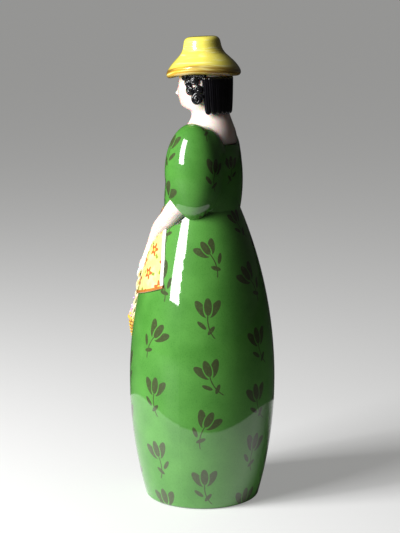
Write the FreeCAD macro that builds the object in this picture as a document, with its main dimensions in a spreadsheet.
"""Figural liquor decanter: a lady in a long green dress with a flower basket, in glazed earthenware.

Skirt, bodice, shoulders and head are hollow castings luted one on the other, which together hold the liquor.
The mouth is in the crown of the head. The hat is the stopper, with a cork sleeve on its peg.
Millimetres, +Z up, the lady faces -Y, and the origin is the centre of the foot, on the table.
"""

import FreeCAD
import Part
import Sketcher
import math
import os
import re
from FreeCAD import Matrix, Placement, Rotation, Vector

SIZES = {
    # Skirt, the lower vessel
    "foot_radius": 33.8,
    "foot_rounding": 2.5,
    "foot_ring_width": 5.0,
    "foot_recess": 1.5,
    "belly_radius": 42.8,
    "belly_height": 70.0,
    "waist_radius": 22.1,
    "waist_height": 172.5,
    "wall": 4.0,
    "base_thickness": 5.0,
    # Bodice and shoulders
    "bodice_height": 37.5,
    "chest_half_width": 23.6,
    "chest_half_depth": 22.0,
    "chest_set_back": 1.4,
    "neckline_half_width": 20.5,
    "neckline_half_depth": 18.6,
    "neckline_set_back": 2.4,
    "dress_step": 0.8,
    "shoulder_height": 15.0,
    "shoulder_half_width": 15.8,
    "shoulder_half_depth": 15.2,
    "shoulder_set_back": 4.3,
    "neck_half_width": 10.8,
    "neck_half_depth": 11.4,
    "neck_set_back": 5.2,
    # Head, from the neck joint to the rim of the mouth
    "head_height": 27.0,
    "head_half_width": 14.6,
    "head_half_depth": 15.2,
    "head_set_back": 1.6,
    "temple_drop": 11.0,
    "chin_rise": 3.6,
    "chin_forward": 2.4,
    "rim_half_width": 14.0,
    "nape_height": 11.0,
    "passage_radius": 6.5,
    "nose_length": 6.0,
    "nose_width": 3.2,
    "nose_relief": 1.6,
    # Hair
    "hair_relief": 1.1,
    "lock_radius": 2.3,
    "hair_bottom": 2.4,
    "hair_tuck": 1.5,
    "fringe_height": 4.6,
    "fringe_relief": 0.8,
    "fringe_reach": 8.0,
    "curl_radius": 1.9,
    "curl_thickness": 1.15,
    # Stopper: hat, peg and cork
    "mouth_radius": 8.5,
    "mouth_spare": 1.5,
    "cork_length": 13.0,
    "cork_taper": 0.8,
    "cork_chamfer": 0.6,
    "cork_clearance": 0.3,
    "peg_radius": 4.0,
    "glue_line": 0.06,
    "flange_radius": 12.6,
    "flange_spare": 1.0,
    "hat_set_back": 0.8,
    "hat_tilt": 4.2,
    "hat_overlap": 2.0,
    "hat_height": 21.0,
    "hat_recess": 5.4,
    "recess_radius": 17.8,
    "brim_radius": 21.8,
    "brim_bow": 24.0,
    "brim_edge": 1.6,
    "crown_radius": 12.0,
    "crown_taper": 1.1,
    "crown_rounding": 2.2,
    "crown_height": 9.0,
    "crease": 1.6,
    "crease_bow": 3.0,
    # Sleeves and arms
    "sleeve_half_width": 13.5,
    "sleeve_half_depth": 16.5,
    "sleeve_half_height": 26.7,
    "sleeve_spread": 20.5,
    "sleeve_set_back": 1.0,
    "sleeve_rise": 23.5,
    "shoulder_cap_half_width": 12.0,
    "shoulder_cap_half_depth": 13.3,
    "shoulder_cap_half_height": 17.5,
    "shoulder_cap_spread": 15.0,
    "shoulder_cap_set_back": 4.9,
    "shoulder_cap_rise": 31.5,
    "cuff_slope": 45.5,
    "cuff_reach": 20.1,
    "elbow_radius": 6.9,
    "forearm_radius": 5.9,
    "wrist_radius": 3.0,
    "hand_drop": 34.0,
    "hand_length": 6.0,
    "hand_width": 4.3,
    "hand_relief": 3.0,
    "finger_radius": 1.2,
    # Apron
    "apron_thickness": 0.8,
    "apron_drop": 38.8,
    "apron_top_angle": 53.0,
    "apron_hem_angle": 73.0,
    "hem_slope": 18.4,
    "hem_width": 2.4,
    "hem_relief": 0.5,
    # Basket of flowers
    "basket_radius": 11.5,
    "basket_foot_radius": 8.0,
    "basket_height": 15.5,
    "basket_bow": 14.0,
    "basket_drop": 66.0,
    "basket_sink": 6.2,
    "basket_rim": 1.2,
    "rim_bow": 1.5,
    "handle_radius": 1.4,
    "handle_span": 9.8,
    "handle_forward": 5.6,
    "handle_height": 33.0,
    "handle_stand": 2.15,
    "bloom_radius": 3.5,
    # Joints between castings, and how far a piece runs into the next one of the same casting
    "lute_gap": 0.1,
    "overrun": 2.0,
}

# Sizes that follow from those above
FORMULAS = {
    "lower_bow": "((belly_height - foot_rounding)^2 + (belly_radius - foot_radius)^2)"
    " / (2 * (belly_radius - foot_radius))",
    "upper_bow": "((waist_height - belly_height)^2 + (belly_radius - waist_radius)^2)"
    " / (2 * (belly_radius - waist_radius))",
    "ring_outside": "foot_radius - foot_rounding",
    "ring_inside": "ring_outside - foot_ring_width",
    "neckline": "waist_height + bodice_height",
    "neck_joint": "neckline + shoulder_height",
    "rim": "neck_joint + head_height",
    "temple": "rim - temple_drop",
    "chin": "neck_joint + chin_rise",
    "cork_top_radius": "mouth_radius - cork_clearance",
    "cork_end": "rim - cork_length",
    "hat_floor": "rim - hat_overlap",
    "sleeve_height": "waist_height + sleeve_rise",
    "cuff_y": "sleeve_set_back - cuff_reach * sin(cuff_slope)",
    "cuff_z": "sleeve_height - cuff_reach * cos(cuff_slope)",
    "hem": "waist_height - apron_drop",
    "basket_top": "waist_height - basket_drop",
    "clear_of_all": "4 * belly_radius",
}

# Heights of the middle sections of bodice and shoulders
MIDDLE_SHARE = 0.5
# The nose's middle below the temples, in its own length
NOSE_DROP_SHARE = 0.4
LOCKS = 15
LOCK_ANGLES = (16.0, 164.0)
# How far a curl's middle stands off the head, in the hair's relief
CURL_SEAT_SHARE = 0.4
# Each curl: its angle round the head from the lady's left, and shares of the head's height and a curl's size
CURL_SHARES = (
    (0.0, 0.43, 1.25),
    (-12.0, 0.60, 1.10),
    (5.0, 0.64, 1.00),
    (-21.0, 0.76, 0.95),
    (-4.0, 0.80, 1.00),
    (-30.0, 0.89, 0.80),
)
# The arm's course: its angle from the front, and shares of the hand's drop and of a radius that it stands off
ARM_SHARES = (
    (57.0, 0.12, 0.05),
    (42.0, 0.30, 0.00),
    (32.5, 0.46, -0.20),
    (26.0, 0.62, -0.30),
    (21.5, 0.80, -0.20),
    (19.0, 0.95, -0.10),
)
# The hand's angle from the front
HAND_ANGLE = 18.5
# The arm's thickness along that course, between forearm (1) and wrist (0)
ARM_TAPER_SHARES = (1.0, 0.66, 0.35, 0.14, 0.0, -0.1)
FINGERS = 4
# A finger's place along the hand and out from it, and its length and height in its own radius
FINGER_ALONG_SHARE = 0.8
FINGER_OUT_SHARE = 0.35
FINGER_LENGTH_SHARE = 2.6
FINGER_HEIGHT_SHARE = 1.3
# How far below the waist the apron's cloth is made before the hem trims it, in its own drop
APRON_CARRY_SHARE = 1.5
# The blooms' places in the basket: shares of its radius across, forward and up
BLOOM_SHARES = (
    (-0.53, 0.46, 0.10),
    (-0.28, 0.66, 0.06),
    (0.10, 0.70, 0.12),
    (0.46, 0.60, 0.05),
    (0.54, 0.40, 0.12),
    (-0.42, 0.46, 0.46),
    (0.02, 0.54, 0.52),
    (0.40, 0.42, 0.48),
    (-0.10, 0.40, 0.82),
    (0.20, 0.38, 0.86),
)
BLOOM_TURN = 70.0
# How far the crease at the crown's foot starts below it, in its own width
CREASE_DROP_SHARE = 0.6

X_AXIS = Vector(1, 0, 0)
Y_AXIS = Vector(0, 1, 0)
Z_AXIS = Vector(0, 0, 1)
WHOLE_TURN = 360.0

doc = FreeCAD.newDocument("decanter")
sheet = doc.addObject("Spreadsheet::Sheet", "Sizes")
for line, (alias, number) in enumerate(SIZES.items(), start=1):
    sheet.set(f"A{line}", alias)
    sheet.set(f"B{line}", str(number))
    sheet.setAlias(f"B{line}", alias)
doc.recompute()


def bound(text):
    """The expression with each size written as its cell of the sheet, and each formula written out."""

    def cell(match):
        name = match.group(0)
        if name in FORMULAS:
            return f"({bound(FORMULAS[name])})"
        return f"Sizes.{name}" if name in SIZES else name

    return re.sub(r"[a-z_]+", cell, text)


def value(text):
    """The number that an expression stands for."""
    return float(sheet.evalExpression(bound(text)))


def bind(target, **expressions):
    """Ties properties of an object to the sheet."""
    for name, text in expressions.items():
        target.setExpression(name, bound(text))
    return target


def place(target, at, rotation=None):
    """Puts an object at a place that follows the sheet."""
    if rotation is not None:
        target.Placement = Placement(Vector(), rotation)
    for axis, text in zip("xyz", at):
        target.setExpression(f"Placement.Base.{axis}", bound(text))
    return target


def primitive(kind, name, at, rotation=None, **sizes):
    """A primitive whose sizes and place follow the sheet."""
    return bind(place(doc.addObject(f"Part::{kind}", name), at, rotation), **sizes)


def cut(name, base, tool):
    """The base with the tool taken away."""
    result = doc.addObject("Part::Cut", name)
    result.Base = base
    result.Tool = tool
    return result


def fuse(name, shapes):
    """Several overlapping objects as one."""
    result = doc.addObject("Part::MultiFuse", name)
    result.Shapes = shapes
    return result


def common(name, base, tool):
    """What two objects share."""
    result = doc.addObject("Part::Common", name)
    result.Base = base
    result.Tool = tool
    return result


def mirror(name, source):
    """The same piece on the lady's other side."""
    result = doc.addObject("Part::Mirroring", name)
    result.Source = source
    result.Normal = X_AXIS
    return result


def feature(name, shape):
    """A piece whose shape is worked out here from the sheet's sizes."""
    result = doc.addObject("Part::Feature", name)
    result.Shape = shape
    return result


def half_space(name, at, rotation):
    """A large block whose lower face has its middle at a place, turned about that place."""
    corner = rotation.multVec(Vector(1, 1, 0))
    start = [f"{text} - clear_of_all * {part:.6f}" for text, part in zip(at, corner)]
    return primitive(
        "Box",
        name,
        start,
        rotation,
        Length="2 * clear_of_all",
        Width="2 * clear_of_all",
        Height="clear_of_all",
    )


def arc_between(start, end, radius, turn):
    """The minor arc between two points; turn is 1 where its centre lies left of the way, -1 where right."""
    chord = end - start
    left = Vector(-chord.y, chord.x, 0).normalize()
    rise = math.sqrt(max(radius**2 - chord.Length**2 / 4, 0))
    circle = Part.Circle((start + end) / 2 + left * turn * rise, Z_AXIS, radius)
    first, last = (start, end) if turn > 0 else (end, start)
    return Part.ArcOfCircle(circle, circle.parameter(first), circle.parameter(last))


def outline(body, name, corners, arcs):
    """A closed sketch on the body's upright plane, through corners given as pairs of expressions.

    arcs names the round segments: the number of the corner where one starts, its radius and its turn.
    """
    sketch = body.newObject("Sketcher::SketchObject", name)
    plane = next(item for item in body.Origin.OriginFeatures if item.Role == "XZ_Plane")
    sketch.AttachmentSupport = [(plane, "")]
    sketch.MapMode = "FlatFace"
    points = [Vector(value(x), value(y), 0) for x, y in corners]
    ends = []
    for i, start in enumerate(points):
        end = points[(i + 1) % len(points)]
        radius, turn = arcs.get(i, (None, 1))
        if radius is None:
            sketch.addGeometry(Part.LineSegment(start, end))
        else:
            sketch.addGeometry(arc_between(start, end, value(radius), turn))
        ends.append((1, 2) if turn > 0 else (2, 1))

    def held(text, *constraint):
        number = sketch.addConstraint(Sketcher.Constraint(*constraint, value(text)))
        sketch.setExpression(f"Constraints[{number}]", bound(text))

    for i, (x, y) in enumerate(corners):
        start = (i, ends[i][0])
        before = (i - 1) % len(corners)
        sketch.addConstraint(Sketcher.Constraint("Coincident", before, ends[before][1], *start))
        for kind, axis, text in (("DistanceX", -2, x), ("DistanceY", -1, y)):
            if text == "0":
                sketch.addConstraint(Sketcher.Constraint("PointOnObject", *start, axis))
            else:
                held(text, kind, -1, 1, *start)
    for i, (radius, turn) in arcs.items():
        held(radius, "Radius", i)
    return sketch


def turned(name, corners, arcs):
    """A body made by turning an outline about its upright axis."""
    body = doc.addObject("PartDesign::Body", name)
    sketch = outline(body, f"{name}_outline", corners, arcs)
    turn = body.newObject("PartDesign::Revolution", f"{name}_turned")
    turn.Profile = sketch
    turn.ReferenceAxis = (sketch, ["V_Axis"])
    turn.Angle = WHOLE_TURN
    body.Tip = turn
    return body


def bowed(bow, height, off):
    """Radius, at a height, of the skirt's wall moved outwards by an offset."""
    return f"(belly_radius - {bow} + sqrt(({bow} + {off})^2 - ({height} - belly_height)^2))"


def upper(height, off="0"):
    """Radius of the skirt between belly and waist."""
    return bowed("upper_bow", height, off)


def lower(height, off="0"):
    """Radius of the skirt between foot and belly."""
    return bowed("lower_bow", height, off)


def frame(across, along, up, centre):
    """The matrix that carries a unit shape to a place with three directions of its own."""
    columns = (across, along, up, centre)
    rows = [[getattr(column, axis) for column in columns] for axis in "xyz"]
    return Matrix(*rows[0], *rows[1], *rows[2], 0, 0, 0, 1)


def oval(centre, across, along):
    """An oval wire about a centre: a unit circle stretched along two directions."""
    circle = Part.Wire(Part.Circle().toShape())
    return circle.transformGeometry(frame(across, along, across.cross(along), centre))


def ball(centre, *axes):
    """An oval ball about a centre: a unit sphere stretched along three directions."""
    return Part.makeSphere(1).transformGeometry(frame(*axes, centre))


def section(height, wide, deep, back):
    """One level oval of a column, from expressions."""
    return tuple(value(text) for text in (height, wide, deep, back))


def column(sections, inset=0.0):
    """A solid through level ovals, each drawn in by an amount."""
    wires = []
    for height, wide, deep, back in sections:
        wires.append(oval(Vector(0, back, height), X_AXIS * (wide - inset), Y_AXIS * (deep - inset)))
    return Part.makeLoft(wires, True)


# Skirt: foot ring, belly and waist, with an even wall
def make_skirt():
    corners = (
        ("0", "foot_recess"),
        ("ring_inside", "foot_recess"),
        ("ring_inside", "0"),
        ("ring_outside", "0"),
        ("foot_radius", "foot_rounding"),
        ("belly_radius", "belly_height"),
        ("waist_radius", "waist_height"),
        (upper("waist_height", "-wall"), "waist_height"),
        ("belly_radius - wall", "belly_height"),
        (lower("base_thickness", "-wall"), "base_thickness"),
        ("0", "base_thickness"),
    )
    arcs = {
        3: ("foot_rounding", 1),
        4: ("lower_bow", 1),
        5: ("upper_bow", 1),
        7: ("upper_bow - wall", -1),
        8: ("lower_bow - wall", -1),
    }
    return turned("skirt", corners, arcs)


def make_skirt_envelope():
    """The skirt's outside as a solid with the luting gap, for trimming what is luted to it."""
    corners = (
        ("0", "foot_rounding"),
        (lower("foot_rounding", "lute_gap"), "foot_rounding"),
        ("belly_radius + lute_gap", "belly_height"),
        (upper("waist_height", "lute_gap"), "waist_height"),
        ("0", "waist_height"),
    )
    arcs = {1: ("lower_bow + lute_gap", 1), 2: ("upper_bow + lute_gap", 1)}
    return turned("skirt_envelope", corners, arcs)


# Bodice and shoulders: tubes through level ovals from the waist to the neck
BODICE = (
    section("waist_height", "waist_radius", "waist_radius", "0"),
    section(
        f"waist_height + {MIDDLE_SHARE} * bodice_height",
        "chest_half_width",
        "chest_half_depth",
        "chest_set_back",
    ),
    section("neckline", "neckline_half_width", "neckline_half_depth", "neckline_set_back"),
)
SHOULDERS = (
    section(
        "neckline",
        "neckline_half_width - dress_step",
        "neckline_half_depth - dress_step",
        "neckline_set_back",
    ),
    section(
        f"neckline + {MIDDLE_SHARE} * shoulder_height",
        "shoulder_half_width",
        "shoulder_half_depth",
        "shoulder_set_back",
    ),
    section("neck_joint", "neck_half_width", "neck_half_depth", "neck_set_back"),
)
NECK = (
    section("neck_joint", "neck_half_width", "neck_half_depth", "neck_set_back"),
    section("neck_joint + nape_height", "neck_half_width", "neck_half_depth", "head_set_back"),
)


def make_tube(name, sections):
    """A tube with an even wall."""
    return feature(name, column(sections).cut(column(sections, value("wall"))))


def make_torso_envelope():
    """Bodice and shoulders as one solid with the luting gap, for trimming the sleeves."""
    gap = value("lute_gap")
    return feature("torso_envelope", column(BODICE, -gap).fuse(column(SHOULDERS, -gap)))


# Head: a turned egg, deeper than wide and drawn forward to the chin, on its neck
def egg(grow):
    """The outside of the head, grown all round by an amount."""
    wide = value("head_half_width") + grow
    deep = value("head_half_depth") + grow
    temple = value("temple")
    drop = temple - value("chin") + grow
    pole = Vector(0, 0, -1)
    edge = Vector((value("rim_half_width") + grow) / wide, 0, value("temple_drop") / drop)
    bow = (edge.z**2 + (1 - edge.x) ** 2) / (2 * (1 - edge.x))
    half = math.asin(edge.z / bow) / 2
    middle = Vector(1 - bow + bow * math.cos(half), 0, bow * math.sin(half))
    quarter = Vector(math.sqrt(0.5), 0, -math.sqrt(0.5))
    crown = Vector(0, 0, edge.z)
    edges = (
        Part.Arc(pole, quarter, X_AXIS).toShape(),
        Part.Arc(X_AXIS, middle, edge).toShape(),
        Part.LineSegment(edge, crown).toShape(),
        Part.LineSegment(crown, pole).toShape(),
    )
    solid = Part.Face(Part.Wire(edges)).revolve(Vector(), Z_AXIS, WHOLE_TURN)
    lean = value("chin_forward") / (1 + edge.z)
    centre = Vector(0, value("head_set_back") - lean * edge.z, temple)
    return solid.transformGeometry(frame(X_AXIS * wide, Y_AXIS * deep, Vector(0, lean, drop), centre))


def make_head():
    tip = Vector(
        0,
        value("head_set_back - head_half_depth - nose_relief / 2"),
        value(f"temple - nose_length * {NOSE_DROP_SHARE}"),
    )
    nose = ball(
        tip,
        X_AXIS * value("nose_width / 2"),
        Y_AXIS * value("2 * nose_relief"),
        Z_AXIS * value("nose_length / 2"),
    )
    seat = Vector(0, value("head_set_back"), value("cork_end - mouth_spare"))
    rim = Vector(0, value("head_set_back"), value("rim"))
    joint = Vector(0, value("neck_set_back"), value("neck_joint"))

    def tapered(*rings):
        return Part.makeLoft([oval(at, X_AXIS * radius, Y_AXIS * radius) for at, radius in rings], True)

    mouth = tapered((seat, value("mouth_radius - cork_taper")), (rim, value("mouth_radius")))
    passage = tapered((joint, value("passage_radius")), (seat, value("passage_radius")))
    return feature("head", egg(0).fuse(column(NECK)).fuse(nose).cut(mouth).cut(passage))


def make_head_envelope():
    """Head, neck and shoulders as one solid with the luting gap, for trimming the hair."""
    gap = value("lute_gap")
    return feature("head_envelope", egg(gap).fuse(column(NECK, -gap)).fuse(column(SHOULDERS, -gap)))


# Hair: combed locks side by side round the back, each ending round, and a fringe under the hat
def make_fringe():
    """A thin band round the head from the temples back, just below the hat."""
    reach = value("clear_of_all")
    corner = Vector(-reach, value("head_set_back - fringe_reach"), value("rim - hair_tuck - fringe_height"))
    slab = Part.makeBox(2 * reach, 2 * reach, value("fringe_height"), corner)
    return feature("fringe", egg(value("fringe_relief")).common(slab))


def make_hair(head_envelope):
    locks = []
    first, last = LOCK_ANGLES
    for number in range(LOCKS):
        angle = math.radians(first + (last - first) * number / (LOCKS - 1))
        at = (
            f"(head_half_width + hair_relief - lock_radius) * {math.cos(angle):.6f}",
            f"head_set_back + (head_half_depth + hair_relief - lock_radius) * {math.sin(angle):.6f}",
            "neck_joint + hair_bottom + lock_radius",
        )
        length = "head_height - hair_bottom - lock_radius - hair_tuck"
        locks.append(primitive("Cylinder", f"lock_{number}", at, Radius="lock_radius", Height=length))
        locks.append(primitive("Sphere", f"lock_end_{number}", at, Radius="lock_radius"))
    return cut("hair", fuse("hair_mass", [*locks, make_fringe()]), head_envelope)


# Curls: small snail curls in front of each ear
def make_curls(head_envelope, hair):
    rings = []
    for number, (angle, rise_share, size_share) in enumerate(CURL_SHARES):
        way = Vector(math.cos(math.radians(angle)), math.sin(math.radians(angle)), 0)
        at = (
            f"(head_half_width + hair_relief * {CURL_SEAT_SHARE}) * {way.x:.6f}",
            f"head_set_back + (head_half_depth + hair_relief * {CURL_SEAT_SHARE}) * {way.y:.6f}",
            f"neck_joint + head_height * {rise_share}",
        )
        ring, tube = f"curl_radius * {size_share}", f"curl_thickness * {size_share}"
        facing = Rotation(Z_AXIS, way)
        rings.append(primitive("Torus", f"curl_{number}", at, facing, Radius1=ring, Radius2=tube))
        rings.append(primitive("Sphere", f"curl_heart_{number}", at, Radius=tube))
    mass = fuse("curl_mass", rings)
    return cut("left_curls", cut("curls_on_head", mass, head_envelope), hair)


# Sleeves: full ovals that run over the shoulders, trimmed to the torso and open at a sloping cuff
CUFF = ("sleeve_spread", "cuff_y", "cuff_z")


def make_sleeve(torso_envelope, skirt_envelope):
    full = primitive(
        "Ellipsoid",
        "sleeve_oval",
        ("sleeve_spread", "sleeve_set_back", "sleeve_height"),
        Rotation(Y_AXIS, 90),
        Radius1="sleeve_half_width",
        Radius2="sleeve_half_height",
        Radius3="sleeve_half_depth",
    )
    cap = primitive(
        "Ellipsoid",
        "shoulder_cap",
        ("shoulder_cap_spread", "shoulder_cap_set_back", "waist_height + shoulder_cap_rise"),
        Rotation(Y_AXIS, 90),
        Radius1="shoulder_cap_half_width",
        Radius2="shoulder_cap_half_height",
        Radius3="shoulder_cap_half_depth",
    )
    beyond = half_space("beyond_cuff", CUFF, Rotation(X_AXIS, 180 - value("cuff_slope")))
    seat = fuse("sleeve_seat", [torso_envelope, skirt_envelope])
    whole = fuse("whole_sleeve", [full, cap])
    return cut("left_sleeve", cut("sleeve_with_cuff", whole, beyond), seat)


# Apron: a band that follows the skirt, widening downwards, with a raised hem that dips to the front
def make_apron_band(name, outside):
    low = f"(waist_height - apron_drop * {APRON_CARRY_SHARE})"
    corners = (
        (upper(low, "lute_gap"), low),
        (upper(low, outside), low),
        (upper("waist_height", outside), "waist_height"),
        (upper("waist_height", "lute_gap"), "waist_height"),
    )
    arcs = {1: (f"upper_bow + {outside}", 1), 3: ("upper_bow + lute_gap", -1)}
    return turned(name, corners, arcs)


def make_fan():
    """The wedge between the apron's side edges, which spread from the waist down past the hem."""
    reach = value("clear_of_all")
    levels = []
    for height, angle in (("waist_height", "apron_top_angle"), ("hem", "apron_hem_angle")):
        turn, level = math.radians(value(angle)), value(height)
        side = Vector(reach * math.sin(turn), -reach * math.cos(turn), level)
        front = Vector(0, -2 * reach, level)
        levels.append([Vector(0, 0, level), side, front, Vector(-side.x, side.y, level)])
    top, hem = levels
    low = [a + (b - a) * APRON_CARRY_SHARE for a, b in zip(top, hem)]
    wires = [Part.makePolygon([*level, level[0]]) for level in (top, low)]
    return feature("apron_fan", Part.makeLoft(wires, True, True))


def make_apron():
    """The apron, and its space with the luting gap for trimming the arms."""
    fan = make_fan()
    down = Rotation(X_AXIS, 180 + value("hem_slope"))
    below = half_space("below_hem", ("0", "0", "hem"), down)
    strip = half_space("hem_strip", ("0", "0", "hem + hem_width / cos(hem_slope)"), down)
    face = "(lute_gap + apron_thickness)"
    cloth = common("apron_cloth", make_apron_band("apron_band", face), fan)
    raised = common("apron_raised", make_apron_band("hem_band", f"({face} + hem_relief)"), fan)
    hem = common("apron_hem", raised, strip)
    apron = cut("apron", fuse("apron_with_hem", [cloth, hem]), below)
    space = make_apron_band("space_band", f"({face} + lute_gap)")
    hem_space_band = make_apron_band("hem_space_band", f"({face} + hem_relief + lute_gap)")
    hem_space = common("hem_space", hem_space_band, strip)
    seat = common("apron_seat_fan", fuse("apron_space", [space, hem_space]), fan)
    return apron, cut("apron_seat", seat, below)


# Arms: round forearms from the cuffs, laid against the skirt, with hands over the basket's handle
def cuff_middle():
    """The middle of the sleeve's opening."""
    slope = math.radians(value("cuff_slope"))
    out = Vector(0, -math.sin(slope), -math.cos(slope))
    deep, tall = value("sleeve_half_depth"), value("sleeve_half_height")
    pull = Vector(0, out.y * deep**2, out.z * tall**2)
    centre = Vector(value("sleeve_spread"), value("sleeve_set_back"), value("sleeve_height"))
    return centre + pull * (value("cuff_reach") / pull.dot(out)) - out * value("overrun")


def on_skirt(angle, drop_share, off_share):
    """A point near the skirt's surface, at an angle from the front and a share of the hand's drop."""
    height = f"(waist_height - hand_drop * {drop_share})"
    reach = value(f"{upper(height)} + wrist_radius * {off_share}")
    turn = math.radians(angle)
    return Vector(reach * math.sin(turn), -reach * math.cos(turn), value(height))


def make_arm(torso_envelope, skirt_envelope, apron_seat, handle):
    course = [(cuff_middle(), value("elbow_radius"))]
    for where, taper_share in zip(ARM_SHARES, ARM_TAPER_SHARES):
        radius = value(f"wrist_radius + (forearm_radius - wrist_radius) * {taper_share}")
        course.append((on_skirt(*where), radius))
    wires = []
    for i, (centre, radius) in enumerate(course):
        along = (course[min(i + 1, len(course) - 1)][0] - course[max(i - 1, 0)][0]).normalize()
        across = along.cross(Vector(centre.x, centre.y, 0)).normalize()
        inward = along.cross(across)
        wires.append(oval(centre, inward * radius, across * -radius))
    hand = on_skirt(HAND_ANGLE, 1.0, 0.0)
    along = (hand - course[-1][0]).normalize()
    across = along.cross(Vector(hand.x, hand.y, 0)).normalize()
    out = across.cross(along)
    length, width, relief = value("hand_length"), value("hand_width"), value("hand_relief")
    shape = Part.makeLoft(wires, True).fuse(ball(hand, along * length, across * width, out * relief))
    radius = value("finger_radius")
    knuckle = hand + along * length * FINGER_ALONG_SHARE + out * relief * FINGER_OUT_SHARE
    for i in range(FINGERS):
        tip = knuckle + across * (2 * i + 1 - FINGERS) * width / (FINGERS + 1)
        axes = (along * FINGER_LENGTH_SHARE, across, out * FINGER_HEIGHT_SHARE)
        shape = shape.fuse(ball(tip, *(axis * radius for axis in axes)))
    inside = half_space("inside_cuff", CUFF, Rotation(X_AXIS, -value("cuff_slope")))
    seat = fuse("arm_seat", [torso_envelope, skirt_envelope, apron_seat, inside, handle])
    return cut("left_arm", feature("arm_and_hand", shape), seat)


# Basket: half a bowl on the skirt, with blooms and an arched handle
BASKET_Y = f"-({upper('basket_top')} - basket_sink)"


def make_basket(skirt_envelope):
    corners = (
        ("0", "0"),
        ("basket_foot_radius", "0"),
        ("basket_radius - basket_rim", "basket_height - 2 * basket_rim"),
        ("basket_radius - basket_rim", "basket_height"),
        ("0", "basket_height"),
    )
    bowl = turned("basket_bowl", corners, {1: ("basket_bow", 1), 2: ("rim_bow", 1)})
    place(bowl, ("0", BASKET_Y, "basket_top - basket_height"))
    return cut("basket", bowl, skirt_envelope)


def make_handle(seat):
    y = f"({BASKET_Y} - handle_forward)"
    rise = "(handle_height - handle_span - handle_radius)"
    fall = f"({upper('basket_top')} - {upper('(basket_top + handle_height)')} - handle_stand)"
    slope = f"({fall} / (handle_height - handle_radius))"
    lean = Rotation(X_AXIS, -math.degrees(math.asin(value(slope))))
    bow = primitive(
        "Torus",
        "handle_bow",
        ("0", f"{y} + {rise} * {slope}", f"basket_top + {rise} * sqrt(1 - {slope}^2)"),
        lean * Rotation(X_AXIS, 90),
        Radius1="handle_span",
        Radius2="handle_radius",
    )
    bow.Angle3 = WHOLE_TURN / 2
    legs = []
    for name, sign in (("handle_left", ""), ("handle_right", "-")):
        at = (f"{sign}handle_span", y, "basket_top")
        legs.append(primitive("Cylinder", name, at, lean, Radius="handle_radius", Height=rise))
    trimmed = cut("handle_on_skirt", fuse("handle_arch", [bow, *legs]), seat)
    under = half_space("under_handle", ("0", BASKET_Y, "basket_top"), Rotation(X_AXIS, 180))
    return cut("basket_handle", trimmed, under)


def make_flowers(seat, handle):
    blooms = []
    for number, (across_share, forward_share, rise_share) in enumerate(BLOOM_SHARES):
        at = (
            f"basket_radius * {across_share}",
            f"{BASKET_Y} - basket_radius * {forward_share}",
            f"basket_top + basket_radius * {rise_share}",
        )
        turn = Rotation(X_AXIS, BLOOM_TURN)
        blooms.append(primitive("Sphere", f"bloom_{number}", at, turn, Radius="bloom_radius"))
    under = half_space("under_blooms", ("0", BASKET_Y, "basket_top"), Rotation(X_AXIS, 180))
    tops = cut("bloom_tops", fuse("bloom_mass", blooms), under)
    return cut("basket_flowers", cut("blooms_on_skirt", tops, seat), handle)


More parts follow.
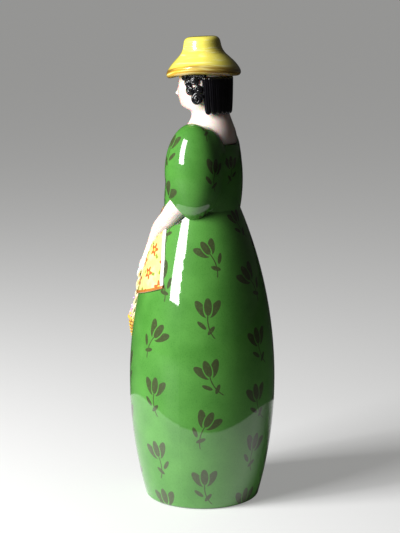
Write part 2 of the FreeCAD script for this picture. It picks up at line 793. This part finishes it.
# Stopper: the hat with its peg, and the cork on it
def make_hat():
    corners = (
        ("0", "hat_recess"),
        ("flange_radius + flange_spare", "hat_recess"),
        ("recess_radius", "0"),
        ("brim_radius - brim_edge", "0"),
        ("brim_radius", "brim_edge"),
        ("crown_radius + crease", f"hat_height - crown_height - crease * {CREASE_DROP_SHARE}"),
        (
            "crown_radius - crown_taper * crease / (crown_height - crown_rounding)",
            "hat_height - crown_height + crease",
        ),
        ("crown_radius - crown_taper", "hat_height - crown_rounding"),
        ("crown_radius - crown_taper - crown_rounding", "hat_height"),
        ("0", "hat_height"),
    )
    arcs = {
        3: ("brim_edge", 1),
        4: ("brim_bow", 1),
        5: ("crease_bow", -1),
        7: ("crown_rounding", 1),
    }
    bell = turned("hat_bell", corners, arcs)
    place(bell, ("0", "hat_set_back", "hat_floor"), Rotation(X_AXIS, value("hat_tilt")))
    flange = primitive(
        "Cylinder",
        "hat_flange",
        ("0", "head_set_back", "rim"),
        Radius="flange_radius",
        Height="hat_recess + overrun - hat_overlap",
    )
    peg = primitive(
        "Cylinder",
        "hat_peg",
        ("0", "head_set_back", "cork_end"),
        Radius="peg_radius",
        Height="cork_length + overrun",
    )
    return fuse("hat", [bell, flange, peg])


def make_cork():
    corners = (
        ("peg_radius + glue_line", "0"),
        ("cork_top_radius - cork_taper - cork_chamfer", "0"),
        ("cork_top_radius - cork_taper", "cork_chamfer"),
        ("cork_top_radius", "cork_length"),
        ("peg_radius + glue_line", "cork_length"),
    )
    return place(turned("cork", corners, {}), ("0", "head_set_back", "cork_end"))


def make_pieces():
    """Every piece of the decanter, one document object each."""
    skirt_envelope = make_skirt_envelope()
    head_envelope = make_head_envelope()
    hair = make_hair(head_envelope)
    curls = make_curls(head_envelope, hair)
    torso_envelope = make_torso_envelope()
    sleeve = make_sleeve(torso_envelope, skirt_envelope)
    apron, apron_seat = make_apron()
    front_seat = fuse("front_seat", [skirt_envelope, apron_seat])
    handle = make_handle(front_seat)
    arm = make_arm(torso_envelope, skirt_envelope, apron_seat, handle)
    return [
        make_skirt(),
        make_tube("bodice", BODICE),
        make_tube("shoulders", SHOULDERS),
        make_head(),
        hair,
        curls,
        mirror("right_curls", curls),
        sleeve,
        mirror("right_sleeve", sleeve),
        arm,
        mirror("right_arm", arm),
        apron,
        make_basket(skirt_envelope),
        handle,
        make_flowers(front_seat, handle),
        make_hat(),
        make_cork(),
    ]


def main():
    pieces = make_pieces()
    doc.recompute()
    for item in doc.Objects:
        if "Invalid" in item.State or "Error" in item.State:
            raise RuntimeError(f"{item.Label} does not build: {item.State}")
    os.makedirs("parts", exist_ok=True)
    for piece in pieces:
        shape = piece.Shape
        if shape.isNull() or not shape.isValid() or len(shape.Solids) != 1:
            raise RuntimeError(f"{piece.Label} is not one sound solid")
        shape.exportStep(f"parts/{piece.Label}.step")


main()
